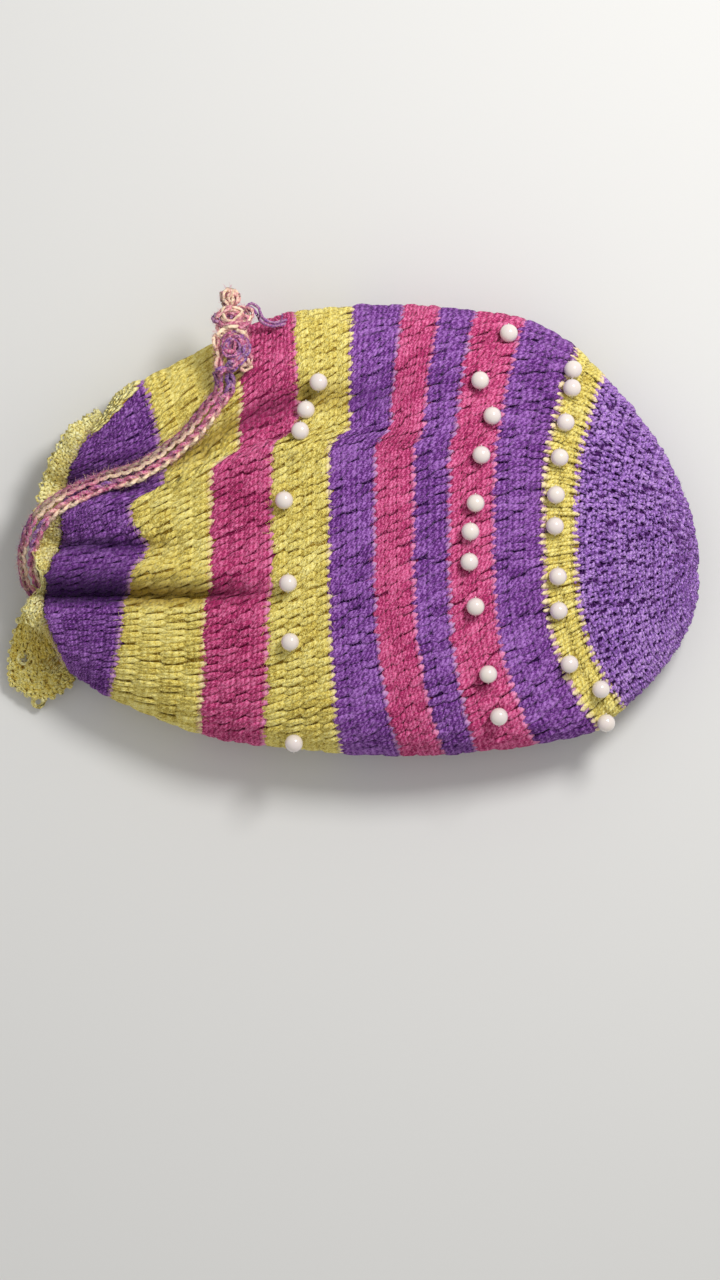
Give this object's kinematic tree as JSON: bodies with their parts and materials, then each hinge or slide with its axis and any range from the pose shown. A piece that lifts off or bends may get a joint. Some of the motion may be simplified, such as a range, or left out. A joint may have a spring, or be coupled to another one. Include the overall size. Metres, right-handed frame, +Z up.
{
  "type": "crocheted drawstring pouch",
  "caption": "Small crocheted drawstring pouch lying on its side, striped, with rows of sewn beads, a gathered mouth with a ruffled edging and a knotted cord.",
  "frame": {"origin": "centre of the pouch's box on the surface it lies on, measured without the drawstring", "axes": "+X from the gathered mouth towards the closed base, +Y across the lying pouch towards the side with the knot, +Z up from the surface"},
  "size_m": [0.2135, 0.1378, 0.0478],
  "materials": {
    "purple_yarn": "matte",
    "pink_yarn": "matte",
    "yellow_yarn": "matte",
    "drawstring_yarn": "matte",
    "pearl": "gloss"
  },
  "bodies": {
    "root": {"crochet_body": "purple_yarn", "mouth_frill": "yellow_yarn", "pearl_yellow_row_01": "pearl", "pearl_yellow_row_02": "pearl", "pearl_yellow_row_03": "pearl", "pearl_yellow_row_04": "pearl", "pearl_yellow_row_05": "pearl", "pearl_yellow_row_06": "pearl", "pearl_yellow_row_07": "pearl", "pearl_pink_row_01": "pearl", "pearl_pink_row_02": "pearl", "pearl_pink_row_03": "pearl", "pearl_pink_row_04": "pearl", "pearl_pink_row_05": "pearl", "pearl_pink_row_06": "pearl", "pearl_pink_row_07": "pearl", "pearl_pink_row_08": "pearl", "pearl_pink_row_09": "pearl", "pearl_pink_row_10": "pearl", "pearl_base_row_01": "pearl", "pearl_base_row_02": "pearl", "pearl_base_row_03": "pearl", "pearl_base_row_04": "pearl", "pearl_base_row_05": "pearl", "pearl_base_row_06": "pearl", "pearl_base_row_07": "pearl", "pearl_base_row_08": "pearl", "pearl_base_row_09": "pearl", "pearl_base_row_10": "pearl", "pearl_base_row_11": "pearl", "pearl_yellow_row_back_01": "pearl", "pearl_yellow_row_back_02": "pearl", "pearl_yellow_row_back_03": "pearl", "pearl_yellow_row_back_04": "pearl", "pearl_yellow_row_back_05": "pearl", "pearl_yellow_row_back_06": "pearl", "pearl_yellow_row_back_07": "pearl", "pearl_pink_row_back_01": "pearl", "pearl_pink_row_back_02": "pearl", "pearl_pink_row_back_03": "pearl", "pearl_pink_row_back_04": "pearl", "pearl_pink_row_back_05": "pearl", "pearl_pink_row_back_06": "pearl", "pearl_pink_row_back_07": "pearl", "pearl_pink_row_back_08": "pearl", "pearl_pink_row_back_09": "pearl", "pearl_base_row_back_01": "pearl", "pearl_base_row_back_02": "pearl", "pearl_base_row_back_03": "pearl", "pearl_base_row_back_04": "pearl", "pearl_base_row_back_05": "pearl", "pearl_base_row_back_06": "pearl", "pearl_base_row_back_07": "pearl", "pearl_base_row_back_08": "pearl", "drawstring": "drawstring_yarn", "drawstring_knot": "drawstring_yarn"}
  },
  "joints": []
}
